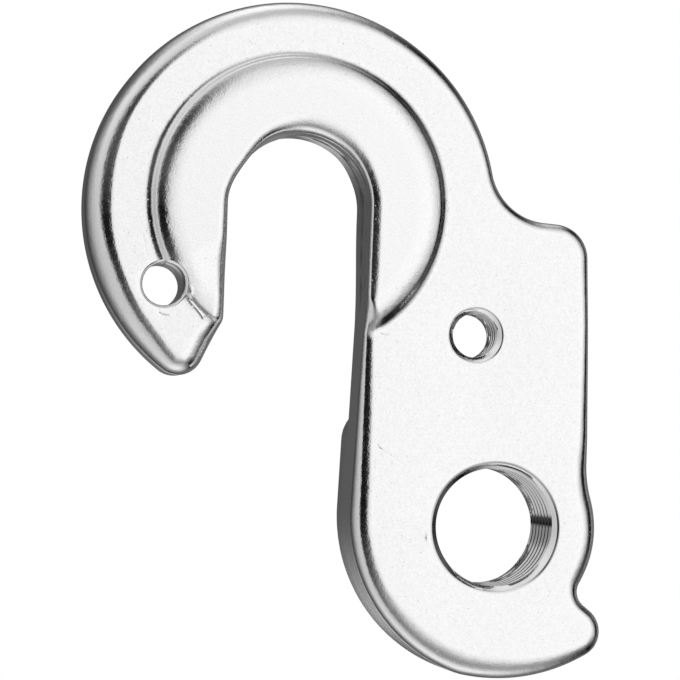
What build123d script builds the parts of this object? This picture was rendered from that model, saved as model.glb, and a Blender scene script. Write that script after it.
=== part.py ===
"""Bicycle rear derailleur hanger: one polished aluminium casting.

Millimetres. The origin is on the wheel axle's centre line, in the face that seats on
the frame's dropout. +X points rearward, +Y outboard and +Z up, so the wheel side,
with the raised seat round the axle slot, looks along -Y.
"""

from build123d import *
import os
from math import asin, atan2, cos, degrees, radians, sin, sqrt

# Axle slot, drawn about the axle, and the hook round it
slot_width = 11.2
slot_lean = 2.2  # how far the slot leans forward, in degrees
hook_lean = 1.5  # the same for the slot's wall along the hook, in degrees
mouth_depth = 9.15  # along the slot, from the axle to the corner where it opens out
mouth_slope = 63.0  # slope of the tip's inner side, in degrees
mouth_round = 1.2
hook_radius = 16.2
hook_forward = 0.31  # the hook's own centre stands forward of the axle and below it
hook_drop = 0.22
tip_round = 2.0

# Thicknesses
plate_thickness = 5.0
seat_height = 1.0
pad_depth = 2.7

# Raised seat for the axle nut
seat_radius = 11.75
seat_rise = 0.2  # its centre stands above the axle
seat_slope = 50.0  # steepest part of its flank, in degrees
seat_crown = 2.1
seat_root = 0.6
root_slope = 10.0  # flank's slope where it meets the plate, in degrees

# Shoulder behind the hook
shoulder_length = 7.46  # hook's rearmost point back to the plate's rear edge
shoulder_drop = 1.48
shoulder_slope = 5.5  # in degrees
shoulder_blend = 4.7
shoulder_round = 2.75

# Derailleur bore, tapped M10 x 1, and the lower end round it
bore_drop = 25.16
bore_diameter = 9.0
bore_chamfer = 0.65
end_radius = 13.03
end_shift_x = 1.71  # from the bore to the end radius's centre
end_shift_z = 0.74
heel_radius = 5.84
heel_from = 247.4  # bearing where the heel's tighter radius starts, in degrees
heel_to = 257.6  # bearing where it ends, in degrees
toe_radius = 14.0
boss_radius = 8.4
boss_stand = 0.65  # how far the boss round the bore stands out behind the rear edge
boss_blend = 10.0
wall_bend_depth = 8.77  # along the slot, from the axle to where its rear wall leans more
wall_bend_radius = 30.0

# Stop for the derailleur's adjusting screw
stop_rise = 6.84  # lowest point of the end radius up to the notch above the stop
stop_slope = 40.0  # slope of the stop's upper side, in degrees
stop_round = 2.1
notch_round = 1.3

# Frame screw hole, tapped M4, and the plain hole in the hook
screw_x = 14.08
screw_drop = 10.1
screw_diameter = 3.3
screw_chamfer = 0.5
hook_hole_inset = 3.87  # from the hook's outer edge
hook_hole_bearing = 210.6  # in degrees from the rear, over the top
hook_hole_diameter = 3.3

# Pad on the outboard side
ledge_rise = 9.72  # bore up to the pad's ledge
ledge_round = 3.0
pad_round = 0.4

# Edges
front_round = 0.9
slot_round = 0.7
back_chamfer = 0.4
soft_radius = 3.0  # the polished hook rolls over before its edge
soft_width = 1.7  # how far in the roll starts at its widest
soft_fade = 0.45  # how far the roll's circle stands out where the hook leaves the plate
soft_bearing = 170.0  # where the roll is widest, in degrees
soft_turn = 60.0  # how far the roll is drawn, past any slope it is used to, in degrees
soft_overrun = 15.0  # how far the roll is carried on past the tip, in degrees

half_slot = slot_width / 2
front = -plate_thickness
seat_face = front - seat_height
rear_edge = hook_radius - hook_forward + shoulder_length
bore_x = rear_edge + boss_stand - boss_radius
ledge_z = ledge_rise - bore_drop
stop_drop = end_radius - end_shift_z - stop_rise
seat_sink = plate_thickness / 2
pad_sink = plate_thickness / 4


def heading(angle):
    """Unit vector at an angle in degrees, in the plate's own plane."""
    return Vector(cos(radians(angle)), sin(radians(angle)))


def bearing(point, centre):
    """Angle in degrees from a centre to a point."""
    return degrees(atan2(point.Y - centre.Y, point.X - centre.X)) % 360


def arc_between(first, last, centre, radius):
    """Arc from one point to another, counter-clockwise about a centre."""
    start = bearing(first, centre)
    return CenterArc(centre, radius, start, (bearing(last, centre) - start) % 360)


def leaves_circle(start, angle, centre, radius):
    """Point where a line drawn from inside a circle leaves it."""
    offset = start - centre
    along = offset.dot(heading(angle))
    return start + heading(angle) * (sqrt(along**2 - offset.length**2 + radius**2) - along)


def enters_circle(start, angle, centre, radius):
    """Point where a line drawn from outside a circle first meets it."""
    offset = start - centre
    along = offset.dot(heading(angle))
    return start - heading(angle) * (sqrt(along**2 - offset.length**2 + radius**2) + along)


# Corners of the outline, before they are rounded
axle = Vector(0, 0)
bore = Vector(bore_x, -bore_drop)
screw = Vector(screw_x, -screw_drop)
hook_hole = heading(hook_hole_bearing) * (hook_radius - hook_hole_inset)
hook_centre = Vector(-hook_forward, -hook_drop)
slot_rear = heading(-slot_lean) * half_slot
slot_fore = heading(180 - hook_lean) * half_slot
slot_down = heading(-90 - slot_lean)
mouth = slot_fore + heading(-90 - hook_lean) * mouth_depth
tip = leaves_circle(mouth, 180 + mouth_slope, hook_centre, hook_radius)
corner = Vector(rear_edge, -shoulder_drop)
shoulder = enters_circle(corner, 180 - shoulder_slope, hook_centre, hook_radius)
boss_top = Vector(rear_edge, sqrt(boss_radius**2 - (rear_edge - bore_x) ** 2) - bore_drop)
notch = Vector(bore_x + sqrt(boss_radius**2 - stop_drop**2), -bore_drop - stop_drop)
end_centre = bore + Vector(end_shift_x, end_shift_z)
heel_start = end_centre + heading(heel_from) * end_radius
heel_centre = heel_start - heading(heel_from) * heel_radius
heel_end = heel_centre + heading(heel_to) * heel_radius
toe_centre = heel_end - heading(heel_to) * toe_radius
stop = leaves_circle(notch, -stop_slope, toe_centre, toe_radius)
wall_bend = slot_rear + slot_down * wall_bend_depth

# The rear wall runs on until it touches the end radius
bend_to_end = end_centre - wall_bend
wall_course = bearing(end_centre, wall_bend) - degrees(asin(end_radius / bend_to_end.length))
wall_end = wall_bend + heading(wall_course) * sqrt(bend_to_end.length**2 - end_radius**2)

with BuildSketch() as outline:
    with BuildLine():
        arc_between(slot_rear, slot_fore, axle, half_slot)
        Polyline(slot_fore, mouth, tip)
        arc_between(shoulder, tip, hook_centre, hook_radius)
        Polyline(shoulder, corner, boss_top)
        arc_between(notch, boss_top, bore, boss_radius)
        Line(notch, stop)
        arc_between(heel_end, stop, toe_centre, toe_radius)
        arc_between(heel_start, heel_end, heel_centre, heel_radius)
        arc_between(wall_end, heel_start, end_centre, end_radius)
        Polyline(wall_end, wall_bend, slot_rear)
    make_face()
    rounded_corners = (
        (mouth, mouth_round),
        (tip, tip_round),
        (shoulder, shoulder_blend),
        (corner, shoulder_round),
        (boss_top, boss_blend),
        (notch, notch_round),
        (stop, stop_round),
        (wall_bend, wall_bend_radius),
    )
    for point, radius in rounded_corners:
        fillet(outline.vertices().sort_by_distance(point)[0], radius)

# The seat is drawn with the whole outline, its edge rounded, then turned to a ring
with BuildPart() as seat:
    with BuildSketch(Plane.XZ.offset(plate_thickness - seat_sink)):
        add(outline.sketch)
    extrude(amount=seat_sink + seat_height)
    fillet(seat.faces().sort_by(Axis.Y)[0].edges(), slot_round)
    crown_drop = seat_crown * (1 - cos(radians(seat_slope)))
    root_drop = seat_root * (cos(radians(root_slope)) - cos(radians(seat_slope)))
    root_run = seat_root * (sin(radians(seat_slope)) - sin(radians(root_slope)))
    flank = heading(seat_slope) * ((seat_height - crown_drop - root_drop) / sin(radians(seat_slope)))
    crown_run = seat_crown * sin(radians(seat_slope))
    crown_start = Vector(seat_radius - root_run - flank.X - crown_run, seat_face)
    with BuildSketch(Plane.XY.offset(seat_rise)):
        with BuildLine():
            crown = JernArc(crown_start, (1, 0), seat_crown, seat_slope)
            side = Line(crown @ 1, crown @ 1 + flank)
            root = JernArc(side @ 1, side % 1, seat_root, root_slope - seat_slope)
            buried = root @ 1 + root % 1 * seat_root
            Polyline(root @ 1, buried, (buried.X, 0), (0, 0), (0, seat_face), crown_start)
        make_face()
    revolve(axis=Axis((0, 0, seat_rise), (0, 1, 0)), mode=Mode.INTERSECT)

# The pad keeps the outline's lower end, with its own rounder edge
with BuildPart() as pad:
    with BuildSketch(Plane.XZ.offset(-pad_depth)):
        add(outline.sketch)
    extrude(amount=pad_depth + pad_sink)
    split(bisect_by=Plane.XY.offset(ledge_z), keep=Keep.BOTTOM)
    fillet(pad.faces().sort_by(Axis.Z)[-1].edges().filter_by(Axis.Y), ledge_round)
    fillet(pad.faces().sort_by(Axis.Y)[-1].edges(), pad_round)

with BuildPart() as hanger:
    with BuildSketch(Plane.XZ):
        add(outline.sketch)
    extrude(amount=plate_thickness)

    # The hook's face rolls over towards its edge, most at the front and not at all by the plate
    roll_shift = (soft_width + soft_fade) / 2
    roll_centre = hook_centre + heading(soft_bearing + 180) * roll_shift
    roll_start = hook_radius + roll_shift - soft_width
    roll_from = bearing(shoulder + Vector(0, shoulder_blend), roll_centre)
    roll_sweep = (bearing(tip, roll_centre) + soft_overrun - roll_from) % 360
    start = heading(roll_from)
    section = Plane((roll_centre.X, 0, roll_centre.Y), (start.X, 0, start.Y), (-start.Y, 0, start.X))
    with BuildSketch(section):
        with BuildLine():
            roll = JernArc((roll_start, front), (1, 0), soft_radius, soft_turn)
            past = roll_start + soft_radius * 2
            Polyline(roll @ 1, (past, (roll @ 1).Y), (past, seat_face), (roll_start, seat_face), roll @ 0)
        make_face()
    turning = Axis((roll_centre.X, 0, roll_centre.Y), (0, -1, 0))
    revolve(axis=turning, revolution_arc=roll_sweep, mode=Mode.SUBTRACT)

    # The front edge is rounded and the back one broken before the seat and the pad cover parts of them
    walls = hanger.faces().filter_by(lambda face: abs(face.normal_at().Y) < 0.01)
    fillet(walls.edges().filter_by(lambda edge: edge.bounding_box().max.Y < front / 2), front_round)
    chamfer(hanger.faces().sort_by(Axis.Y)[-1].edges(), back_chamfer)
    add(seat.part)
    add(pad.part)

    # Tapped holes, countersunk on both sides, and the plain hole in the hook
    tapped_holes = ((bore, bore_diameter, bore_chamfer), (screw, screw_diameter, screw_chamfer))
    for centre, diameter, chamfer_width in tapped_holes:
        with BuildSketch(Plane.XZ.offset(-pad_depth)):
            with Locations(centre):
                Circle(diameter / 2)
        extrude(amount=pad_depth + plate_thickness, mode=Mode.SUBTRACT)
        chamfer(hanger.edges(Select.LAST).filter_by(GeomType.CIRCLE), chamfer_width)
    with BuildSketch(Plane.XZ.offset(-pad_depth)):
        with Locations(hook_hole):
            Circle(hook_hole_diameter / 2)
    extrude(amount=pad_depth - seat_face, mode=Mode.SUBTRACT)

os.makedirs("parts", exist_ok=True)
hanger.part.label = "derailleur_hanger"
export_step(hanger.part, "parts/derailleur_hanger.step")
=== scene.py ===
"""Dresses the derailleur hanger: one polished aluminium casting with cut threads.

The body is drawn again in millimetres from the part's own sizes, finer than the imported
solid, with the soft edges of a polished casting, and brought to metres at the end.
"""

from math import asin, atan2, ceil, cos, degrees, hypot, pi, radians, sin, sqrt, tan

import bmesh
import bpy
from mathutils import Matrix, Vector, geometry, kdtree, noise


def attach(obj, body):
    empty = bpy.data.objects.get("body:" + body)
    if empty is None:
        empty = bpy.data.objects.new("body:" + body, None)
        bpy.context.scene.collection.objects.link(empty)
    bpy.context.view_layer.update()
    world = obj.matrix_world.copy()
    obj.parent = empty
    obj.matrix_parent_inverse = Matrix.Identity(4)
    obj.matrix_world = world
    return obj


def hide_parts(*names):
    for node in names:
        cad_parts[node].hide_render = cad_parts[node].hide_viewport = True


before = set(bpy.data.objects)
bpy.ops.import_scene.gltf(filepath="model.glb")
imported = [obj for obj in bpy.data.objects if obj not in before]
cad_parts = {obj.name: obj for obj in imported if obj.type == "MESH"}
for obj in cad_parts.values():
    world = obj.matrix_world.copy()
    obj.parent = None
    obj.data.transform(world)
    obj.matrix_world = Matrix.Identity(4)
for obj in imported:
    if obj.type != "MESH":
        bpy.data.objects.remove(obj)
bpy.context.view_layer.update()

# Sizes in millimetres and angles in degrees, as in the part's source
half_slot = 5.6
slot_lean = 2.2
hook_lean = 1.5
mouth_depth = 9.15
mouth_slope = 63.0
mouth_round = 1.2
hook_radius = 16.2
tip_round = 2.0
plate_thickness = 5.0
seat_height = 1.0
pad_depth = 2.7
seat_edge = 11.1
shoulder_slope = 5.5
shoulder_blend = 4.7
shoulder_round = 2.75
corner_height = -1.48
end_radius = 13.03
end_shift_x = 1.71
end_shift_z = 0.74
heel_radius = 5.84
heel_from = 247.4
heel_to = 257.6
toe_radius = 14.0
boss_radius = 8.4
boss_blend = 10.0
wall_bend_depth = 8.77
wall_bend_radius = 30.0
stop_drop = 5.45
stop_slope = 40.0
stop_round = 2.1
notch_round = 1.3
rear_edge = 23.35
ledge_height = -15.44
ledge_round = 3.0
pad_round = 0.4
back_chamfer = 0.4
hook_hole_bearing = 210.6
hook_hole_reach = 12.33
hook_hole_shift = 0.09
hook_hole_radius = 1.65

# Tapped holes: crest radius, root radius and lead of the thread, then for the front and the back the
# countersink's slope and the flare's radius, then the rim's round, broken width and inner corner
bore_thread = (4.62, 5.0, 1.0)
bore_sinks = (45.0, 45.0)
bore_flares = (5.3, 5.3)
bore_edge = (0.3, 0.14, 0.1)
screw_thread = (1.73, 1.95, 0.7)
screw_sinks = (45.0, 60.0)
screw_flares = (2.29, 2.55)
screw_edge = (0.15, 0.1, 0.05)
flank_slope = 36.0
root_flat = 0.12  # part of the lead that is flat at the thread's root
rim_slope = 20  # where a rim's round passes into the broken edge
broken_slope = 24  # where the broken edge passes into the countersink's corner
bore_segments = 160
screw_segments = 72
hook_hole_segments = 72
hook_hole_rim = 0.27

# The seat's radii, from its domed top to the hollow at the flank's foot
dome_radius = 4.2
brow_radius = 3.4
brink_radius = 0.6
hollow_radius = 0.55

# How the casting departs from the plain form
arch_flat = 0.32  # how far the slot's arch stands in at its fore shoulder
arch_flat_at = 143  # the bearing where it stands in most
arch_flat_span = 37  # degrees to each side over which that fades
shoulder_inset = 0.2  # how much further that shoulder stands in at the back
rear_inset = 0.16  # how far the slot's rear wall stands in at the back
scored_end = -10  # height at which the scores of the slot's rear wall end
wall_rows = (  # part of the way from the wall's foot to the edge's round, and depth of the score
    (0.3, 0.0), (0.42, 0.02), (0.46, 0.09), (0.55, 0.0), (0.64, 0.08), (0.68, 0.0), (0.8, 0.08), (0.85, 0.0)
)
uneven_share = 0.05  # how much the edge rounds vary along the outline
uneven_scale = 0.21
least_chamfer = 0.02
ledge_clear = 0.004  # how far the ledge stays off the back edge's chamfer

# Spacing of the drawn points, and the slopes at which the edge rounds are cut
pitch = 0.13
round_slopes = (90, 82, 74, 66, 58, 50, 43, 36, 31, 28, 25, 22, 19, 16, 12, 8, 4, 0)
roll_slope = 28  # where an edge's round passes into the softer roll of the face
lip_slope = 16  # where that roll meets the face in a tighter bend
edge_passes = 60  # how often the edge radii are evened out along the outline
flat_margin = 0.1
circle_pitch = 0.17  # spacing of points on the circles of the seat's flank
circle_room = 0.11  # how far they stay off the edges and the burrs
least_step = 0.012  # circles closer than this are drawn as one
slot_margin = 0.05  # within which a point counts as the slot's
hole_room = 0.12  # flat face left beside the hook's hole
mark_room = 0.05  # how far the burrs stay off the holes
crease_slope = 32
touching = 1e-4  # points this close are one
metres = 0.001

# Marks on a face: cut by the tool, or the crest of a thread, whose colour is darkened as painted shade
tooled_mark = 0.5
crest_shade_mark = 1.0
crest_reach = 0.012  # how far above the crest's radius its faces may reach


def heading(angle):
    """Unit vector at an angle in degrees, in the plate's own plane."""
    return Vector((cos(radians(angle)), 0.0, sin(radians(angle))))


def right_of(course):
    """Unit vector to the right of a course, where the metal lies."""
    return Vector((course.z, 0.0, -course.x))


def bearing(point, centre):
    """Angle in degrees from a centre to a point."""
    return degrees(atan2(point.z - centre.z, point.x - centre.x)) % 360


def leaves_circle(start, angle, centre, radius):
    """Point where a line drawn from inside a circle leaves it."""
    offset = start - centre
    along = offset.dot(heading(angle))
    return start + heading(angle) * (sqrt(along**2 - offset.length_squared + radius**2) - along)


def enters_circle(start, angle, centre, radius):
    """Point where a line drawn from outside a circle first meets it."""
    offset = start - centre
    along = offset.dot(heading(angle))
    return start - heading(angle) * (sqrt(along**2 - offset.length_squared + radius**2) + along)


def round_two_lines(before, corner, after, radius):
    """First touch, centre and last touch of a round between two straight edges."""
    back = (before - corner).normalized()
    on = (after - corner).normalized()
    half = back.angle(on) / 2
    reach = radius / tan(half)
    centre = corner + (back + on).normalized() * (radius / sin(half))
    return corner + back * reach, centre, corner + on * reach


def round_line_and_arc(corner, side, radius, arc_centre, arc_radius, reach):
    """Touch on the line, centre, and touch on the arc of a round near a corner.

    side points from the line to the round's centre, and reach is the distance between
    the two centres.
    """
    along = right_of(side)
    start = corner + side * radius
    offset = start - arc_centre
    run = offset.dot(along)
    gap = sqrt(run**2 - offset.length_squared + reach**2)
    both = (start + along * (way - run) for way in (gap, -gap))
    centre = min(both, key=lambda c: (c - corner).length)
    return centre - side * radius, centre, arc_centre + (centre - arc_centre).normalized() * arc_radius


# Corners of the outline, before they are rounded
axle = Vector((0, 0, 0))
bore = Vector((15.6, 0, -25.16))
screw = Vector((14.08, 0, -10.1))
hook_hole = heading(hook_hole_bearing) * hook_hole_reach + Vector((hook_hole_shift, 0, 0))
hook_centre = Vector((-0.31, 0, -0.22))
seat_centre = Vector((0, 0, 0.2))
slot_rear = heading(-slot_lean) * half_slot
slot_fore = heading(180 - hook_lean) * half_slot
slot_down = heading(-90 - slot_lean)
mouth = slot_fore + heading(-90 - hook_lean) * mouth_depth
tip = leaves_circle(mouth, 180 + mouth_slope, hook_centre, hook_radius)
corner = Vector((rear_edge, 0, corner_height))
shoulder = enters_circle(corner, 180 - shoulder_slope, hook_centre, hook_radius)
boss_top = Vector((rear_edge, 0, sqrt(boss_radius**2 - (rear_edge - bore.x) ** 2) + bore.z))
notch = Vector((bore.x + sqrt(boss_radius**2 - stop_drop**2), 0, bore.z - stop_drop))
end_centre = bore + Vector((end_shift_x, 0, end_shift_z))
heel_start = end_centre + heading(heel_from) * end_radius
heel_centre = heel_start - heading(heel_from) * heel_radius
heel_end = heel_centre + heading(heel_to) * heel_radius
toe_centre = heel_end - heading(heel_to) * toe_radius
stop = leaves_circle(notch, -stop_slope, toe_centre, toe_radius)
wall_bend = slot_rear + slot_down * wall_bend_depth
bend_to_end = end_centre - wall_bend
wall_course = bearing(end_centre, wall_bend) - degrees(asin(end_radius / bend_to_end.length))
wall_end = wall_bend + heading(wall_course) * sqrt(bend_to_end.length**2 - end_radius**2)

# Rounds of those corners
tip_side = right_of((tip - mouth).normalized())
top_side = -right_of(heading(-shoulder_slope))
stop_side = right_of(heading(-stop_slope))
rear_side = Vector((1, 0, 0))
mouth_in, mouth_mid, mouth_out = round_two_lines(slot_fore, mouth, tip, mouth_round)
tip_in, tip_mid, tip_out = round_line_and_arc(
    tip, tip_side, tip_round, hook_centre, hook_radius, hook_radius - tip_round
)
blend_out, blend_mid, blend_in = round_line_and_arc(
    shoulder, top_side, shoulder_blend, hook_centre, hook_radius, hook_radius + shoulder_blend
)
corner_in, corner_mid, corner_out = round_two_lines(shoulder, corner, boss_top, shoulder_round)
boss_in, boss_mid, boss_out = round_line_and_arc(
    boss_top, rear_side, boss_blend, bore, boss_radius, boss_radius + boss_blend
)
notch_out, notch_mid, notch_in = round_line_and_arc(
    notch, -stop_side, notch_round, bore, boss_radius, boss_radius + notch_round
)
stop_in, stop_mid, stop_out = round_line_and_arc(
    stop, stop_side, stop_round, toe_centre, toe_radius, toe_radius - stop_round
)
bend_in, bend_mid, bend_out = round_two_lines(wall_end, wall_bend, slot_rear, wall_bend_radius)
wall_meets_ledge = wall_end.lerp(bend_in, (ledge_height - wall_end.z) / (bend_in.z - wall_end.z))
rear_meets_ledge = Vector((rear_edge, 0, ledge_height))
pad_rear, ledge_rear_mid, ledge_rear = round_two_lines(
    boss_in, rear_meets_ledge, wall_meets_ledge, ledge_round
)
ledge_fore, ledge_fore_mid, pad_fore = round_two_lines(
    rear_meets_ledge, wall_meets_ledge, wall_end, ledge_round
)


def seat_profile(steep, foot):
    """Distance from the seat's centre and height over the plate, from its domed top down its flank.

    Each run of the flank turns from one slope to the next with its own radius, steep is its steepest
    slope, and foot has the last runs.
    """
    runs = (
        (dome_radius, 0, lip_slope),
        (brow_radius, lip_slope, roll_slope),
        (brink_radius, roll_slope, steep),
        (hollow_radius, steep, roll_slope),
    ) + foot
    fall = [abs(cos(radians(before)) - cos(radians(after))) * radius for radius, before, after in runs]
    side = seat_height - sum(fall)
    points = [(0.0, seat_height)]
    for radius, before, after in runs:
        steps = max(4, ceil(abs(after - before) / 4))
        for step in range(1, steps + 1):
            low = before + (after - before) * (step - 1) / steps
            high = before + (after - before) * step / steps
            out = abs(sin(radians(high)) - sin(radians(low))) * radius
            down = abs(cos(radians(high)) - cos(radians(low))) * radius
            points.append((points[-1][0] + out, points[-1][1] - down))
        if (before, after) == (lip_slope, roll_slope):
            start = seat_edge - points[-1][0]
        if after == steep:
            points.append((points[-1][0] + side / tan(radians(after)), points[-1][1] - side))
    points = [(start + distance, height) for distance, height in points]
    return [(start - flat_margin, seat_height)] + points + [(points[-1][0] + flat_margin, 0.0)]


fore_flank = seat_profile(56, ((1.7, roll_slope, lip_slope), (0.7, lip_slope, 0)))
top_flank = seat_profile(56, ((0.75, roll_slope, 0),))
rear_flank = seat_profile(42, ((1.3, roll_slope, lip_slope), (0.7, lip_slope, 0)))


def ease(part):
    """Runs softly from 0 to 1."""
    part = min(max(part, 0.0), 1.0)
    return part * part * (3 - 2 * part)


def between(value, start, stop):
    """Runs softly from 0 at one value to 1 at another."""
    return ease((value - start) / (stop - start))


def rise_along(flank, away):
    """Height of the seat at a distance from its centre."""
    if away <= flank[0][0]:
        return seat_height
    for (near, high), (far, low) in zip(flank, flank[1:]):
        if away <= far:
            return high + (low - high) * (away - near) / (far - near)
    return 0.0


def face_depth(point):
    """Where the front surface lies at a point of the plate, without its edge rounds.

    The seat's flank has a softer foot at the front and rear than at the top, and the seat is lower
    below the hook's hole and at its end beside the slot.
    """
    away = (Vector((point.x, 0, point.z)) - seat_centre).length
    angle = bearing(point, seat_centre)
    if angle > 270:
        angle -= 360
    fore, rear = between(angle, 125, 165), between(angle, 85, 40)
    rise = rise_along(top_flank, away) * (1 - fore - rear)
    rise += rise_along(fore_flank, away) * fore + rise_along(rear_flank, away) * rear
    lower = max(0.55 * between(angle, 203, 229), 0.5 * between(angle, -53, -61))
    return -plate_thickness - rise * (1 - lower)


class Outline:
    """Draws an outline as a chain of spun runs.

    Each run ends with the three radii of the edge there: of its round, of the face's roll, and
    of the bend where the roll meets the flat.
    """

    def __init__(self, mesh, start, edge=(0, 0, 0)):
        self.mesh = mesh
        self.edges = [Vector(edge)]
        mesh.verts.new(start)

    def spin(self, steps, edge, **way):
        self.mesh.verts.ensure_lookup_table()
        last = self.mesh.verts[-1]
        bmesh.ops.spin(self.mesh, geom=[last], steps=steps, **way)
        first = self.edges[-1]
        for step in range(1, steps + 1):
            self.edges.append(first.lerp(Vector(edge), step / steps))

    def run(self, end, edge=(0, 0, 0)):
        """Straight on to a point."""
        self.mesh.verts.ensure_lookup_table()
        travel = end - self.mesh.verts[-1].co
        steps = max(3, ceil(travel.length / pitch))
        self.spin(steps, edge, cent=axle, axis=(0, 1, 0), dvec=travel / steps, angle=0)

    def turn(self, centre, end, edge=(0, 0, 0), clockwise=True):
        """Round a centre to a point."""
        self.mesh.verts.ensure_lookup_table()
        start = self.mesh.verts[-1].co
        swing = (bearing(start, centre) - bearing(end, centre)) % 360
        if not clockwise:
            swing -= 360
        steps = max(3, ceil(radians(abs(swing)) * (end - centre).length / pitch))
        self.spin(steps, edge, cent=centre, axis=(0, 1, 0), angle=radians(swing))

    def close(self):
        """The last point becomes the first."""
        self.mesh.verts.ensure_lookup_table()
        verts = self.mesh.verts
        bmesh.ops.weld_verts(self.mesh, targetmap={verts[-1]: verts[0]})
        self.edges.pop()


def around(values, passes):
    """Values round a loop, evened out between neighbours."""
    for _ in range(passes):
        ahead = values[1:] + values[:1]
        behind = values[-1:] + values[:-1]
        values = [(a + 2 * b + c) / 4 for a, b, c in zip(ahead, values, behind)]
    return values


# The edge's three radii at bearings along the slot's arch and along the hook's outer edge
slot_edge = (0.42, 2.7, 0.5)
arch_edges = (
    (25, (0.5, 2.5, 0.6)),
    (55, (0.9, 2.3, 1.5)),
    (90, (1.1, 2.2, 2.2)),
    (115, (0.8, 1.2, 1.2)),
    (145, (0.6, 0.7, 0.7)),
)
hook_edges = (
    (223, (2.3, 2.2, 1.0)),
    (200, (2.7, 2.5, 0.7)),
    (188, (2.3, 3.4, 0.9)),
    (180, (2.05, 3.9, 1.0)),
    (165, (2.1, 3.6, 0.8)),
    (150, (2.2, 2.5, 0.7)),
    (135, (2.3, 1.6, 0.8)),
    (118, (2.2, 1.4, 1.0)),
    (90, (1.65, 2.2, 2.2)),
    (45, (1.2, 1.4, 1.4)),
    (20, (0.95, 1.0, 1.0)),
)

# Points between the corners at which the edge's radii change
toe_middle = toe_centre + heading(280) * toe_radius
end_fore = end_centre + heading(205) * end_radius
rear_middle = Vector((rear_edge, 0, -9))


def draw_outline(mesh):
    """The outline in the plane of the back face; returns the edge's three radii at each point."""
    line = Outline(mesh, slot_rear, slot_edge)
    for angle, edge in arch_edges:
        line.turn(axle, heading(angle) * half_slot, edge, clockwise=False)
    line.turn(axle, slot_fore, (0.75, 0.7, 0.7), clockwise=False)
    line.run(mouth_in, (1.0, 0.9, 0.9))
    line.turn(mouth_mid, mouth_out, (1.0, 1.0, 1.0))
    line.run(mouth_out.lerp(tip_in, 0.5), (1.9, 1.9, 1.9))
    line.run(tip_in, (1.75, 1.7, 1.7))
    line.turn(tip_mid, tip_out, (1.7, 1.75, 1.6))
    for angle, edge in hook_edges:
        line.turn(hook_centre, hook_centre + heading(angle) * hook_radius, edge)
    line.turn(hook_centre, blend_in, (0.9, 1.0, 1.0))
    line.turn(blend_mid, blend_out, (0.85, 1.2, 1.2), clockwise=False)
    line.run(corner_in, (0.8, 1.5, 1.5))
    line.turn(corner_mid, corner_out, (0.85, 1.3, 1.3))
    line.run(rear_middle, (0.75, 0.9, 0.9))
    line.run(pad_rear, (1.15, 1.2, 1.2))
    line.run(boss_in, (1.55, 1.5, 1.4))
    line.turn(boss_mid, boss_out, (1.75, 1.6, 1.5), clockwise=False)
    line.turn(bore, notch_in, (1.5, 1.4, 1.3))
    line.turn(notch_mid, notch_out, (0.75, 0.8, 0.8), clockwise=False)
    line.run(stop_in, (1.0, 1.1, 1.1))
    line.turn(stop_mid, stop_out, (1.2, 1.4, 1.4))
    line.turn(toe_centre, toe_middle, (1.4, 2.4, 2.4))
    line.turn(toe_centre, heel_end, (1.5, 3.0, 2.8))
    line.turn(heel_centre, heel_start, (1.45, 3.2, 2.4))
    line.turn(end_centre, end_fore, (1.25, 3.0, 1.2))
    line.turn(end_centre, wall_end, (1.2, 2.9, 0.8))
    line.run(pad_fore, (0.9, 2.8, 0.7))
    line.run(pad_fore.lerp(bend_in, 0.7), (0.58, 2.5, 0.7))
    line.run(bend_in, (0.5, 1.7, 0.7))
    line.turn(bend_mid, bend_out, (0.45, 1.5, 0.7), clockwise=False)
    line.run(slot_rear.lerp(bend_out, 0.6), (0.42, 2.7, 0.6))
    line.run(slot_rear, slot_edge)
    line.close()
    return around(line.edges, edge_passes)


def across(edges):
    """The points that edges join, each once, in the order in which they are met."""
    return list(dict.fromkeys(vert for edge in edges for vert in edge.verts))


def ends_of(edges):
    """The two end points of an open chain of edges."""
    met = {}
    for edge in edges:
        for vert in edge.verts:
            met[vert] = met.get(vert, 0) + 1
    return [vert for vert, times in met.items() if times == 1]


def sort_ring(edges):
    """The points of a closed ring of edges, in order, with the metal on their right."""
    links = {}
    for edge in edges:
        for vert in edge.verts:
            links.setdefault(vert, []).append(edge)
    start = edges[0].verts[0]
    ring, edge = [start], edges[0]
    while True:
        vert = edge.other_vert(ring[-1])
        if vert is start:
            break
        ring.append(vert)
        edge = next(other for other in links[vert] if other is not edge)
    area = sum(a.co.x * b.co.z - b.co.x * a.co.z for a, b in zip(ring, ring[1:] + ring[:1]))
    return ring if area < 0 else ring[::-1]


def edges_between(made, fresh):
    """The edges just made whose two points are fresh."""
    return [item for item in made if isinstance(item, bmesh.types.BMEdge) and set(item.verts) <= fresh]


def next_row(mesh, edges, station, place):
    """Draws a chain of edges out into one more row of faces and puts its points in place."""
    made = bmesh.ops.extrude_edge_only(mesh, edges=edges)["geom"]
    fresh = [item for item in made if isinstance(item, bmesh.types.BMVert)]
    for vert in fresh:
        vert.co = place(vert[station])
    return edges_between(made, set(fresh))


def rim_steps(sink, edge):
    """Steps in and down a tapped hole's rim: its round, the broken edge and the countersink's corner."""
    outer, broken, inner = edge
    wide = broken / (sin(radians(broken_slope)) - sin(radians(rim_slope)))
    runs = ((outer, 0, rim_slope), (wide, rim_slope, broken_slope), (inner, broken_slope, sink))
    steps = [(0.0, 0.0)]
    for radius, before, after in runs:
        for third in range(3):
            low = radians(before + (after - before) * third / 3)
            high = radians(before + (after - before) * (third + 1) / 3)
            inset, drop = steps[-1]
            inset += radius * (sin(high) - sin(low))
            drop += radius * (cos(low) - cos(high))
            steps.append((inset, drop))
    return steps


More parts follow.
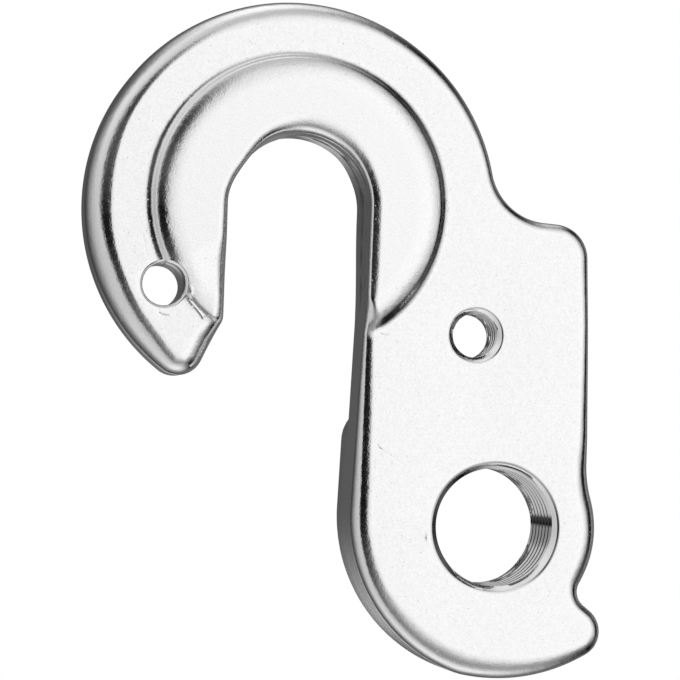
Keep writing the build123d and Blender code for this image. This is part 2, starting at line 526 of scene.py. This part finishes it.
def bore_lean(angle):
    """Slope of the bore's thread flanks at an angle round the hole.

    They are flatter in one patch, where the tap dug in, and a little flatter below it.
    """
    patch = between(angle, 0.5, 2.5) * between(angle, 10.5, 8.5)
    below = between(angle, -26, -16) * between(angle, 2.5, 0.5)
    return flank_slope - 7 * patch - 2.5 * below


def screw_lean(angle):
    """Slope of the screw hole's thread flanks, a little flatter on the upper side."""
    return flank_slope - 1 - 1.5 * between(angle, -10, 10)


def tapped_hole(mesh, centre, thread, sinks, flares, edge, ends, lean_at, segments):
    """A cut thread, spun along its helix, with a countersink and a broken rim at both ends.

    thread has the two radii and the lead, and ends the front and the back face. Returns the rings
    of edges in those faces.
    """
    minor, major, lead = thread
    front, back = ends
    hole = bmesh.new()
    leaning = hole.verts.layers.float.new("leaning")
    front_steps, back_steps = (rim_steps(sink, edge) for sink in sinks)
    front_mouth, back_mouth = flares[0] - front_steps[-1][0], flares[1] - back_steps[-1][0]
    first, last = front + front_steps[-1][1], back - back_steps[-1][1]
    depth_of_flank = major - minor
    flank = depth_of_flank * tan(radians(flank_slope)) / lead
    crest = 1 - root_flat - 2 * flank
    middle = (minor + major) / 2
    # Part of the lead, radius, and how far the point goes with the leaning flank
    tooth = (
        (0.0, minor, 0.0),
        (crest / 2, minor, 0.0),
        (crest, minor, 0.0),
        (crest + flank / 2, middle, 0.0),
        (crest + flank, major, 0.0),
        (crest + flank + root_flat, major, 1.0),
        (1 - flank / 2, middle, 0.5),
    )
    chain = []
    for turn in range(ceil((last - first) / lead) + 2):
        for part, radius, share in tooth:
            vert = hole.verts.new((radius, first + (turn - 1 + part) * lead, 0))
            vert[leaning] = share
            chain.append(vert)
    profile = [hole.edges.new(pair) for pair in zip(chain, chain[1:])]
    bmesh.ops.spin(
        hole,
        geom=chain + profile,
        cent=axle,
        axis=(0, 1, 0),
        dvec=(0, lead / segments, 0),
        angle=2 * pi,
        steps=segments,
    )
    for vert in hole.verts:
        radius = hypot(vert.co.x, vert.co.z)
        slope = lean_at(degrees(atan2(vert.co.z, vert.co.x)))
        lean = tan(radians(flank_slope)) - tan(radians(slope))
        depth = min(max(vert.co.y + vert[leaning] * depth_of_flank * lean, first), last)
        wide = max(
            radius,
            front_mouth - (depth - first) / tan(radians(sinks[0])),
            back_mouth - (last - depth) / tan(radians(sinks[1])),
        )
        vert.co = Vector((vert.co.x * wide / radius, depth, vert.co.z * wide / radius))
    bmesh.ops.remove_doubles(hole, verts=hole.verts, dist=touching)
    rims = ((front, 1, flares[0], front_steps), (back, -1, flares[1], back_steps))
    for face, way, flare, steps in rims:
        reach = steps[-1][1] + touching
        row = [e for e in hole.edges if e.is_boundary and abs(e.verts[0].co.y - face) < reach]
        for inset, drop in steps[-2::-1]:
            made = bmesh.ops.extrude_edge_only(hole, edges=row)["geom"]
            fresh = {item for item in made if isinstance(item, bmesh.types.BMVert)}
            for vert in fresh:
                wide = (flare - inset) / hypot(vert.co.x, vert.co.z)
                vert.co = Vector((vert.co.x * wide, face + way * drop, vert.co.z * wide))
            row = edges_between(made, fresh)
    bmesh.ops.translate(hole, verts=hole.verts, vec=centre)
    return join(mesh, hole, ends)


def join(mesh, hole, depths):
    """Adds a finished hole to the body and finds its open rings again."""
    store = bpy.data.meshes.new("hole")
    hole.to_mesh(store)
    hole.free()
    old = len(mesh.edges)
    mesh.from_mesh(store)
    bpy.data.meshes.remove(store)
    mesh.edges.ensure_lookup_table()
    rims = [edge for edge in mesh.edges[old:] if edge.is_boundary]
    middle = sum(depths) / 2
    front = [edge for edge in rims if edge.verts[0].co.y < middle]
    back = [edge for edge in rims if edge.verts[0].co.y > middle]
    return front, back


def plain_hole(mesh, centre, radius, back, segments):
    """The hook's plain hole: a spun wall whose rounded rim follows the face that it goes through."""
    hole = bmesh.new()
    # Shares of the rim's width, outwards from the wall and down from the face
    rim = ((1.0, 0.0), (0.85, 0.03), (0.7, 0.1), (0.55, 0.22), (0.05, 0.72), (0.0, 0.82))
    chain = [hole.verts.new((radius, level, 0)) for level in range(len(rim) + 2)]
    profile = [hole.edges.new(pair) for pair in zip(chain, chain[1:])]
    bmesh.ops.spin(
        hole,
        geom=chain + profile,
        cent=axle,
        axis=(0, 1, 0),
        angle=2 * pi,
        steps=segments,
        use_merge=True,
    )
    for vert in hole.verts:
        level = round(vert.co.y)
        side = Vector((vert.co.x, 0, vert.co.z)) / radius
        front = face_depth(centre + side * (radius + hook_hole_rim))
        if level < len(rim):
            out, down = rim[level]
            vert.co = side * (radius + hook_hole_rim * out)
            vert.co.y = front + hook_hole_rim * down
        else:
            vert.co.y = front + (back - front) * (0.5 if level == len(rim) else 1.0)
    bmesh.ops.translate(hole, verts=hole.verts, vec=centre)
    return join(mesh, hole, (-plate_thickness, back))


# Small raised and sunk lines left by the casting and the trimming: path, half the width, height
burr_spacing = 0.09
burrs = (
    (
        ((-8.8, -7.3), (-8.5, -7.59), (-7.95, -8.2), (-7.49, -8.82), (-7.37, -9.28), (-7.41, -9.74)),
        0.11,
        0.075,
    ),
    (((-8.55, -6.35), (-8.43, -6.75), (-8.42, -7.15), (-8.62, -7.45)), 0.12, 0.07),
    (((-11.05, -8.33), (-10.74, -8.62), (-10.36, -8.68), (-9.97, -8.48)), 0.1, -0.06),
    (((-12.22, -2.23), (-11.99, -3.31), (-11.83, -4.4)), 0.06, -0.022),
    (((10.2, -25.41), (10.08, -25.9), (10.2, -26.4)), 0.1, 0.05),
    (((6.2, -9.95), (6.75, -10.1), (7.2, -10.05)), 0.09, -0.05),
    (((6.1, -18.5), (6.35, -18.9), (6.7, -19.15)), 0.09, -0.05),
)


def along(path, spacing):
    """Points spaced along a path, each with the way across and the part of the path's length."""
    spots = [Vector((x, 0, z)) for x, z in path]
    total = sum((b - a).length for a, b in zip(spots, spots[1:]))
    gone = 0.0
    for a, b in zip(spots, spots[1:]):
        count = max(1, round((b - a).length / spacing))
        for step in range(count):
            part = (gone + (b - a).length * step / count) / total
            yield a.lerp(b, step / count), right_of((b - a).normalized()), part
        gone += (b - a).length


def burr_points():
    """Points of the front surface along the raised and sunk lines: a crest, two feet and a flat margin."""
    points = []
    for path, half, height in burrs:
        for spot, side, part in along(path, burr_spacing):
            strength = min(1.0, 5 * part, 5 * (1 - part)) * (0.75 + 0.5 * noise.noise(spot * 6))
            for lines, share in ((0, 1.0), (-1, 0.0), (1, 0.0), (-2.2, 0.0), (2.2, 0.0)):
                place = spot + side * half * lines
                place.y = face_depth(place) - height * strength * share
                points.append(place)
    return points


def fill_front(mesh, rings, openings):
    """Closes the front between its rings, with the seat's flank as circles and the burrs as lines."""
    edge_points = across(edge for ring in rings for edge in ring)
    spots = [Vector((vert.co.x, 0, vert.co.z)) for vert in edge_points]
    marks = []
    for place in burr_points():
        flat = Vector((place.x, 0, place.z))
        if all((flat - centre).length > radius + mark_room for centre, radius in openings):
            if min((flat - spot).length for spot in spots) > burr_spacing:
                marks.append(place)
    tree = kdtree.KDTree(len(spots) + len(marks))
    for index, spot in enumerate(spots + [Vector((place.x, 0, place.z)) for place in marks]):
        tree.insert(spot, index)
    tree.balance()
    circles = bmesh.new()
    upright = Matrix.Rotation(radians(90), 4, "X")
    lie = Matrix.Translation(seat_centre) @ upright
    radii = sorted(radius for radius, _ in fore_flank + top_flank + rear_flank)
    apart = [b - a > least_step for a, b in zip(radii, radii[1:])] + [True]
    for radius in (radius for radius, kept in zip(radii, apart) if kept):
        segments = int(2 * pi * radius / circle_pitch)
        bmesh.ops.create_circle(circles, segments=segments, radius=radius, matrix=lie)
    flank = [mesh.verts.new(place) for place in marks]
    for vert in circles.verts:
        _, _, gap = tree.find((vert.co.x, 0, vert.co.z))
        if gap > circle_room:
            flank.append(mesh.verts.new((vert.co.x, face_depth(vert.co), vert.co.z)))
    circles.free()
    points = edge_points + flank
    place = {vert: index for index, vert in enumerate(points)}
    limits = [tuple(place[vert] for vert in edge.verts) for ring in rings for edge in ring]
    flat = [Vector((vert.co.x, vert.co.z)) for vert in points]
    _, _, triangles, origins, _, _ = geometry.delaunay_2d_cdt(flat, limits, [], 2, 1e-6)
    for triangle in triangles:
        corners = [points[origins[index][0]] for index in triangle]
        middle = sum((vert.co for vert in corners), Vector()) / 3
        if not any(hypot(middle.x - c.x, middle.z - c.z) < radius for c, radius in openings):
            mesh.faces.new(corners)
    bmesh.ops.delete(mesh, geom=[vert for vert in flank if not vert.link_faces], context="VERTS")


def fill(mesh, edges, normal):
    """Closes a flat face between its rings."""
    bmesh.ops.triangle_fill(mesh, edges=edges, normal=normal, use_beauty=True)


def inwards(spots):
    """Unit vectors into the metal along a closed outline."""
    ahead = spots[1:] + spots[:1]
    behind = spots[-1:] + spots[:-1]
    return [right_of((on - back).normalized()) for on, back in zip(ahead, behind)]


def make_hanger():
    """The whole casting as one closed mesh."""
    mesh = bmesh.new()
    edges = draw_outline(mesh)
    mesh.verts.ensure_lookup_table()
    station = mesh.verts.layers.int.new("station")
    for index, vert in enumerate(mesh.verts):
        vert[station] = index
    spots = [vert.co.copy() for vert in mesh.verts]
    inward = inwards(spots)
    for spot, way in zip(spots, inward):
        if spot.z > 0 and spot.length < half_slot + slot_margin:
            off = min(1.0, abs(bearing(spot, axle) - arch_flat_at) / arch_flat_span)
            spot -= way * arch_flat * (0.5 + 0.5 * cos(pi * off))
    uneven = [1 + uneven_share * noise.noise(spot * uneven_scale) for spot in spots]
    edges = [edge * share for edge, share in zip(edges, uneven)]
    outline = mesh.edges[:]
    roll_in, roll_down = sin(radians(roll_slope)), cos(radians(roll_slope))
    lip_in, lip_down = sin(radians(lip_slope)), cos(radians(lip_slope))
    for index, spot in enumerate(spots):
        tight, soft, flat = edges[index]
        reach = tight * (1 - roll_in) + soft * (roll_in - lip_in) + flat * lip_in
        room = (spot - hook_hole).length - hook_hole_radius - hook_hole_rim - flat_margin - hole_room
        edges[index] = edges[index] * min(1.0, room / reach)

    def front_at(slope, margin=0.0):
        """Places the row at which the edge has turned to a slope, seen from the face."""

        def place(index):
            tight, soft, flat = edges[index]
            run, fall = sin(radians(slope)), cos(radians(slope))
            inset = tight * (1 - max(run, roll_in))
            inset += soft * (roll_in - min(max(run, lip_in), roll_in)) + flat * (lip_in - min(run, lip_in))
            turned = soft * (lip_down - min(max(fall, roll_down), lip_down))
            turned += tight * (roll_down - min(fall, roll_down))
            drop = flat * (1 - max(fall, lip_down)) + turned
            spot = spots[index] + inward[index] * (inset + margin)
            return Vector((spot.x, face_depth(spot) + drop, spot.z))

        return place

    rear_station = min(range(len(spots)), key=lambda i: (spots[i] - pad_rear).length)
    fore_station = min(range(len(spots)), key=lambda i: (spots[i] - pad_fore).length)

    def chamfer_at(spot):
        """Width of the back edge's chamfer, which runs out where the pad's ledge leaves the wall."""
        away = min((spot - pad_rear).length, (spot - pad_fore).length, ledge_round)
        leaves = ledge_round - sqrt(ledge_round**2 - away**2)
        return min(back_chamfer, max(least_chamfer, 0.9 * leaves))

    def in_slot(spot):
        """Whether a point of the outline lies in the slot's arch or on its rear wall."""
        if spot.z > 0:
            return spot.length < half_slot + slot_margin
        return 0 < spot.x < half_slot + slot_margin and spot.z > scored_end

    def closes_in(spot):
        """How far the slot's walls stand in at the back: the arch's fore shoulder and the rear side."""
        if not in_slot(spot):
            return 0.0
        if spot.z < 0:
            return rear_inset * between(spot.z, -8, -1)
        angle = bearing(spot, axle)
        bulge = max(0.0, 1 - ((angle - 122) / 24) ** 2)
        return shoulder_inset * bulge + rear_inset * between(angle, 50, 20)

    def wall_foot(index):
        """Where the wall meets the back edge's chamfer."""
        spot = spots[index]
        return spot - inward[index] * closes_in(spot) - Vector((0, chamfer_at(spot), 0))

    def scored_at(part, depth):
        """Places a row of the wall, sunk where the slot's rear wall is scored."""

        def place(index):
            spot = spots[index]
            cut = 0.0
            if in_slot(spot) and spot.x > -1:
                if spot.z > 0:
                    cut = between(bearing(spot, axle), 100, 70)
                else:
                    cut = 0.6 * between(spot.z, scored_end, scored_end + 4)
                cut *= 0.8 + 0.9 * noise.noise(Vector((spot.z * 0.9, part * 7, 0.0)))
            return wall_foot(index).lerp(front_at(90)(index), part) + inward[index] * depth * cut

        return place

    # The wall, from the back edge's chamfer to the front edge's round
    for index, vert in enumerate(mesh.verts):
        vert.co = wall_foot(index)
    row = outline
    for part, depth in wall_rows:
        row = next_row(mesh, row, station, scored_at(part, depth))
    for slope in round_slopes:
        row = next_row(mesh, row, station, front_at(slope))
    front_ring = next_row(mesh, row, station, front_at(0, flat_margin))

    # Back edge above the pad, and the wall that goes on down the pad
    def beside_pad(edge):
        return all(rear_station <= vert[station] <= fore_station for vert in edge.verts)

    above = [edge for edge in outline if not beside_pad(edge)]
    below = [edge for edge in outline if beside_pad(edge)]

    def chamfer_end(index):
        """Where the back edge's chamfer meets the back face."""
        spot = spots[index]
        return spot + inward[index] * (chamfer_at(spot) - closes_in(spot))

    chamfer_row = next_row(mesh, above, station, chamfer_end)
    side_height = pad_depth - pad_round
    pad_row = next_row(mesh, below, station, lambda i: spots[i] + Vector((0, side_height, 0)))

    # The pad's ledge, drawn from wall to wall with its corners rounded
    fore_end, rear_end = sorted(ends_of(pad_row), key=lambda vert: vert.co.x)
    fore_chamfer, rear_chamfer = sorted(ends_of(chamfer_row), key=lambda vert: vert.co.x)
    ledge = bmesh.new()
    line = Outline(ledge, pad_rear)
    line.turn(ledge_rear_mid, ledge_rear, clockwise=False)
    line.run(ledge_fore)
    line.turn(ledge_fore_mid, pad_fore, clockwise=False)
    path = [vert.co.copy() for vert in ledge.verts]
    ledge.free()
    first = len(spots)
    chain = [rear_end]
    for index, spot in enumerate(path[1:-1]):
        vert = mesh.verts.new(spot + Vector((0, side_height, 0)))
        vert[station] = first + index
        chain.append(vert)
    chain.append(fore_end)
    ledge_row = [mesh.edges.new(pair) for pair in zip(chain, chain[1:])]
    spots += path[1:-1]

    def foot(index):
        """Where the ledge's side meets the plate's back, clear of the broken edge."""
        spot = spots[index]
        if index == rear_station:
            return rear_chamfer.co
        if index == fore_station:
            return fore_chamfer.co
        least = chamfer_at(spot) + ledge_clear
        rear_gap = least - (rear_edge - spot.x)
        fore_gap = least - (spot - pad_fore).dot(inward[fore_station])
        return spot + Vector((-max(rear_gap, 0.0), 0, 0)) + inward[fore_station] * max(fore_gap, 0.0)

    foot_row = next_row(mesh, ledge_row, station, foot)
    bmesh.ops.remove_doubles(mesh, verts=[rear_chamfer, fore_chamfer] + ends_of(foot_row), dist=touching)
    rims = [edge for edge in mesh.edges if edge.is_boundary]
    back_ring = [edge for edge in rims if all(abs(vert.co.y) < touching for vert in edge.verts)]
    pad_edges = set(pad_row + ledge_row)
    for end in (rear_end, fore_end):
        low = [edge for edge in end.link_edges if edge.is_boundary and edge not in pad_edges]
        mesh.faces.new(across(low))

    # Pad's own round
    ring = sort_ring(pad_row + ledge_row)
    ways = dict(zip([v[station] for v in ring], inwards([spots[v[station]] for v in ring])))
    row = pad_row + ledge_row
    turns = [radians(slope) for slope in round_slopes[1:]]
    pad_steps = [(pad_round * (1 - sin(turn)), pad_round * (1 - cos(turn))) for turn in turns]
    for inset, drop in pad_steps + [(pad_round + flat_margin, 0.0)]:
        row = next_row(
            mesh, row, station, lambda i: spots[i] + ways[i] * inset + Vector((0, pad_depth - drop, 0))
        )
    pad_ring = row

    bore_ends, screw_ends = (-plate_thickness, pad_depth), (-plate_thickness, 0.0)
    bore_front, bore_back = tapped_hole(
        mesh, bore, bore_thread, bore_sinks, bore_flares,
        bore_edge, bore_ends, bore_lean, bore_segments,
    )
    screw_front, screw_back = tapped_hole(
        mesh, screw, screw_thread, screw_sinks, screw_flares,
        screw_edge, screw_ends, screw_lean, screw_segments,
    )
    hook_front, hook_back = plain_hole(mesh, hook_hole, hook_hole_radius, 0.0, hook_hole_segments)

    fill(mesh, back_ring + screw_back + hook_back, (0, 1, 0))
    fill(mesh, pad_ring + bore_back, (0, 1, 0))
    openings = (
        (bore, bore_flares[0]),
        (screw, screw_flares[0]),
        (hook_hole, hook_hole_radius + hook_hole_rim),
    )
    fill_front(mesh, (front_ring, bore_front, screw_front, hook_front), openings)

    bmesh.ops.recalc_face_normals(mesh, faces=mesh.faces)
    # The cut attribute marks the faces the tool has cut, for a smoother bump, and the threads' crests, for
    # painted shade
    cut = mesh.faces.layers.float.new("cut")
    tapped = ((bore, bore_thread[0], bore_flares[0]), (screw, screw_thread[0], screw_flares[0]))
    for face in mesh.faces:
        face.smooth = True
        for centre, minor, flare in tapped:
            away = max(hypot(v.co.x - centre.x, v.co.z - centre.z) for v in face.verts)
            if away < flare + touching:
                face[cut] = crest_shade_mark if away < minor + crest_reach else tooled_mark
    for edge in mesh.edges:
        if edge.calc_face_angle(0.0) > radians(crease_slope):
            edge.smooth = False
    bmesh.ops.scale(mesh, vec=(metres, metres, metres), verts=mesh.verts)
    data = bpy.data.meshes.new("hanger")
    mesh.to_mesh(data)
    mesh.free()
    piece = bpy.data.objects.new("hanger", data)
    bpy.context.scene.collection.objects.link(piece)
    return piece


def grey(level):
    """Linear value of a grey as it shows, from 0 to 255."""
    part = level / 255
    return part / 12.92 if part <= 0.04045 else ((part + 0.055) / 1.055) ** 2.4


class Nodes:
    """Short calls for building a node tree."""

    def __init__(self, tree):
        self.tree = tree

    def add(self, kind, **values):
        node = self.tree.nodes.new(kind)
        for name, value in values.items():
            setattr(node, name, value)
        return node

    def feed(self, value, socket):
        if hasattr(value, "is_output"):
            self.tree.links.new(value, socket)
        else:
            socket.default_value = value

    def maths(self, operation, *inputs):
        node = self.add("ShaderNodeMath", operation=operation)
        for value, socket in zip(inputs, node.inputs):
            self.feed(value, socket)
        return node.outputs[0]

    def ramp(self, value, stops, interpolation="LINEAR"):
        node = self.add("ShaderNodeValToRGB")
        node.color_ramp.interpolation = interpolation
        elements = node.color_ramp.elements
        elements.remove(elements[1])
        elements[0].position = stops[0][0]
        elements[0].color = (stops[0][1],) * 3 + (1,)
        for place, level in stops[1:]:
            elements.new(place).color = (level, level, level, 1)
        self.feed(value, node.inputs[0])
        return node.outputs[0]

    def mottle(self, where, scale, detail=2.0, roughness=0.5):
        node = self.add("ShaderNodeTexNoise")
        self.feed(where, node.inputs["Vector"])
        node.inputs["Scale"].default_value = scale
        node.inputs["Detail"].default_value = detail
        node.inputs["Roughness"].default_value = roughness
        return node.outputs[0]


def polished_aluminium():
    """Bright polished casting: fine grain, a slight waviness and small pits, with painted shade on the
    threads' crests.
    """
    material = bpy.data.materials.new("polished aluminium")
    material.use_nodes = True
    tree = material.node_tree
    tree.nodes.clear()
    n = Nodes(tree)
    output = n.add("ShaderNodeOutputMaterial")
    metal = n.add("ShaderNodeBsdfPrincipled")
    tree.links.new(metal.outputs[0], output.inputs[0])
    metal.inputs["Metallic"].default_value = 1.0
    where = n.add("ShaderNodeTexCoord").outputs["Object"]

    grain = n.mottle(where, 7500.0, roughness=0.6)
    waves = n.mottle(where, 1500.0)
    patches = n.mottle(where, 180.0, detail=4.0)
    pits = n.add("ShaderNodeTexVoronoi")
    n.feed(where, pits.inputs["Vector"])
    pits.inputs["Scale"].default_value = 2600.0
    bowl = n.ramp(pits.outputs["Distance"], ((0.05, 0.0), (0.17, 1.0)), "EASE")
    kept = n.maths("GREATER_THAN", pits.outputs["Color"], 0.62)
    bowl = n.maths("MAXIMUM", bowl, n.maths("SUBTRACT", 1.0, kept))
    height = n.maths("ADD", grain, n.maths("MULTIPLY", waves, 2.0))
    height = n.maths("ADD", height, n.maths("MULTIPLY", bowl, 1.2))

    # What the tool has cut is smoother, and the crests of the threads get painted shade: their colour is
    # darkened
    bump = n.add("ShaderNodeBump")
    cut = n.add("ShaderNodeAttribute", attribute_name="cut").outputs["Fac"]
    twice = n.maths("MULTIPLY", cut, 2.0)
    tooled = n.maths("MINIMUM", twice, 1.0)
    crest = n.maths("MAXIMUM", n.maths("SUBTRACT", twice, 1.0), 0.0)
    n.feed(n.maths("SUBTRACT", 1.0, n.maths("MULTIPLY", tooled, 0.9)), bump.inputs["Strength"])
    bump.inputs["Distance"].default_value = 0.000009
    n.feed(height, bump.inputs["Height"])
    n.feed(bump.outputs[0], metal.inputs["Normal"])

    n.feed(n.ramp(patches, ((0.3, 0.045), (0.7, 0.08))), metal.inputs["Roughness"])
    tone = n.ramp(grain, ((0.3, 0.84), (0.6, 0.93)))
    # Painted shade: the colour of the threads' crests is darkened
    painted_crest_shade = n.maths("SUBTRACT", 1.0, n.maths("MULTIPLY", crest, 0.88))
    n.feed(n.maths("MULTIPLY", tone, painted_crest_shade), metal.inputs["Base Color"])
    return material


# Greys that the metal meets on the way from the front, over one side, to the back: angle and grey
rear_greys = (
    (0, 236), (6, 238), (14, 249), (38, 252), (45, 242), (55, 226), (65, 195), (73, 155), (80, 80),
    (85, 18), (100, 14), (104, 70), (108, 138), (113, 146), (118, 102), (125, 102), (135, 115),
    (150, 105), (166, 120), (174, 130), (180, 150),
)
fore_greys = (
    (0, 236), (8, 232), (16, 218), (22, 195), (25, 130), (27, 60), (29, 15), (48, 12), (54, 150),
    (60, 200), (73, 194), (93, 175), (113, 132), (128, 95), (142, 62), (155, 58), (163, 75), (169, 92),
    (173, 84), (177, 60), (180, 60),
)
top_greys = (
    (0, 236), (9, 240), (37, 225), (49, 198), (61, 188), (73, 193), (82, 215), (90, 250), (115, 255),
    (121, 205), (133, 130), (145, 90), (160, 75), (174, 80), (180, 80),
)
low_greys = (
    (0, 236), (5, 240), (22, 228), (30, 212), (36, 187), (42, 162), (49, 140), (56, 152), (62, 170),
    (75, 215), (90, 240), (100, 225), (110, 170), (125, 110), (145, 64), (152, 120), (158, 190),
    (166, 190), (171, 115), (174, 90), (180, 80),
)
rear_low_greys = (
    (0, 238), (14, 248), (30, 250), (42, 232), (50, 185), (58, 130), (70, 75), (79, 22), (107, 15),
    (117, 70), (130, 110), (150, 110), (174, 90), (180, 120),
)
rear_top_greys = (
    (0, 238), (14, 248), (38, 250), (50, 232), (62, 185), (72, 110), (80, 45), (88, 22), (106, 25),
    (118, 70), (130, 110), (150, 100), (174, 100), (180, 120),
)
fore_top_greys = (
    (0, 236), (10, 232), (18, 215), (24, 180), (29, 115), (34, 60), (44, 50), (50, 110), (56, 180),
    (64, 208), (80, 225), (90, 205), (100, 150), (112, 105), (130, 80), (160, 75), (180, 80),
)
metal_tone = 0.9  # how much of what it meets the metal throws back


def studio_world():
    """A pale studio: soft white panels with dark gaps, and white where the camera looks past the part."""
    world = bpy.data.worlds.new("studio")
    bpy.context.scene.world = world
    world.use_nodes = True
    tree = world.node_tree
    tree.nodes.clear()
    n = Nodes(tree)
    split = n.add("ShaderNodeSeparateXYZ")
    n.feed(n.add("ShaderNodeTexCoord").outputs["Generated"], split.inputs[0])
    x, y, z = split.outputs
    turn = n.maths("DIVIDE", n.maths("ARCCOSINE", n.maths("MULTIPLY", y, -1.0)), pi)
    span = n.maths("ADD", n.maths("ADD", n.maths("MULTIPLY", x, x), n.maths("MULTIPLY", z, z)), 1e-6)

    def level_of(stops):
        return n.ramp(turn, [(angle / 180, grey(shade) / metal_tone) for angle, shade in stops])

    total = 0.0
    sides = ((rear_greys, x, 1.0), (fore_greys, x, -1.0), (top_greys, z, 1.0), (low_greys, z, -1.0))
    for stops, part, sign in sides:
        share = n.maths("MAXIMUM", n.maths("MULTIPLY", part, sign), 0.0)
        share = n.maths("DIVIDE", n.maths("MULTIPLY", share, share), span)
        total = n.maths("ADD", total, n.maths("MULTIPLY", share, level_of(stops)))
    corners = ((rear_low_greys, 1.0, -2.0), (rear_top_greys, 1.0, 2.0), (fore_top_greys, -1.0, 2.0))
    for stops, rearward, upward in corners:
        share = n.maths("MAXIMUM", n.maths("MULTIPLY", x, rearward), 0.0)
        share = n.maths("MULTIPLY", share, n.maths("MULTIPLY", z, upward))
        share = n.maths("DIVIDE", n.maths("MAXIMUM", share, 0.0), span)
        blend = n.add("ShaderNodeMixRGB")
        n.feed(n.maths("MULTIPLY", share, share), blend.inputs[0])
        n.feed(total, blend.inputs[1])
        n.feed(level_of(stops), blend.inputs[2])
        total = blend.outputs[0]
    rays = n.add("ShaderNodeLightPath").outputs
    metal_sees = n.add("ShaderNodeMixRGB")
    n.feed(rays["Is Glossy Ray"], metal_sees.inputs[0])
    metal_sees.inputs[1].default_value = (0.75, 0.75, 0.75, 1)
    n.feed(total, metal_sees.inputs[2])
    camera_sees = n.add("ShaderNodeMixRGB")
    n.feed(rays["Is Camera Ray"], camera_sees.inputs[0])
    n.feed(metal_sees.outputs[0], camera_sees.inputs[1])
    camera_sees.inputs[2].default_value = (1, 1, 1, 1)
    background = n.add("ShaderNodeBackground")
    n.feed(camera_sees.outputs[0], background.inputs["Color"])
    output = n.add("ShaderNodeOutputWorld")
    n.feed(background.outputs[0], output.inputs[0])


# Places in the studio, in metres
floor_middle = (0.004, 0, -0.06)
floor_radius = 0.25
lamp_spot = (-0.25, -0.35, 0.5)
camera_spot = (-0.03531, -0.22147, -0.01782)
camera_aim = (0.00325, -0.005, -0.01053)


def studio_floor():
    """A pale round floor under the part, fading into the white around it."""
    mesh = bmesh.new()
    low = Matrix.Translation(floor_middle)
    bmesh.ops.create_circle(mesh, cap_ends=True, segments=128, radius=floor_radius, matrix=low)
    data = bpy.data.meshes.new("floor")
    mesh.to_mesh(data)
    mesh.free()
    floor = bpy.data.objects.new("floor", data)
    bpy.context.scene.collection.objects.link(floor)
    floor.visible_glossy = False
    material = bpy.data.materials.new("pale floor")
    material.use_nodes = True
    tree = material.node_tree
    tree.nodes.clear()
    n = Nodes(tree)
    paper = n.add("ShaderNodeBsdfDiffuse")
    where = n.add("ShaderNodeTexCoord").outputs["Object"]
    fibre = n.mottle(where, 900.0)
    n.feed(n.ramp(fibre, ((0.3, 0.84), (0.7, 0.87))), paper.inputs["Color"])
    white = n.add("ShaderNodeEmission")
    away = n.add("ShaderNodeVectorMath", operation="LENGTH")
    n.feed(where, away.inputs[0])
    border = n.ramp(away.outputs["Value"], ((0.09, 0.0), (0.24, 1.0)), "EASE")
    seen = n.add("ShaderNodeLightPath").outputs["Is Camera Ray"]
    shown = n.add("ShaderNodeMixShader")
    n.feed(n.maths("MULTIPLY", border, seen), shown.inputs[0])
    n.feed(paper.outputs[0], shown.inputs[1])
    n.feed(white.outputs[0], shown.inputs[2])
    n.feed(shown.outputs[0], n.add("ShaderNodeOutputMaterial").inputs[0])
    data.materials.append(material)


def studio_lamp():
    """A soft lamp for the part's shadow."""
    lamp = bpy.data.lights.new("soft lamp", "AREA")
    lamp.energy = 1.6
    lamp.size = 0.5
    stand = bpy.data.objects.new("soft lamp", lamp)
    bpy.context.scene.collection.objects.link(stand)
    stand.location = lamp_spot
    stand.rotation_euler = (-stand.location).to_track_quat("-Z", "Y").to_euler()
    stand.visible_glossy = False


def studio_camera():
    """The photograph's angle: from a little forward of square on, level with the part's middle."""
    data = bpy.data.cameras.new("camera")
    data.sensor_width = 36.0
    data.lens = 149.7
    data.clip_start = 0.01
    data.clip_end = 20.0
    camera = bpy.data.objects.new("camera", data)
    bpy.context.scene.collection.objects.link(camera)
    camera.location = camera_spot
    aim = Vector(camera_aim) - camera.location
    camera.rotation_euler = aim.to_track_quat("-Z", "Y").to_euler()
    bpy.context.scene.camera = camera


hanger = make_hanger()
hanger.data.materials.append(polished_aluminium())
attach(hanger, "root")
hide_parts("derailleur_hanger")

studio_world()
studio_floor()
studio_lamp()
studio_camera()
bpy.context.scene.view_settings.view_transform = "Standard"
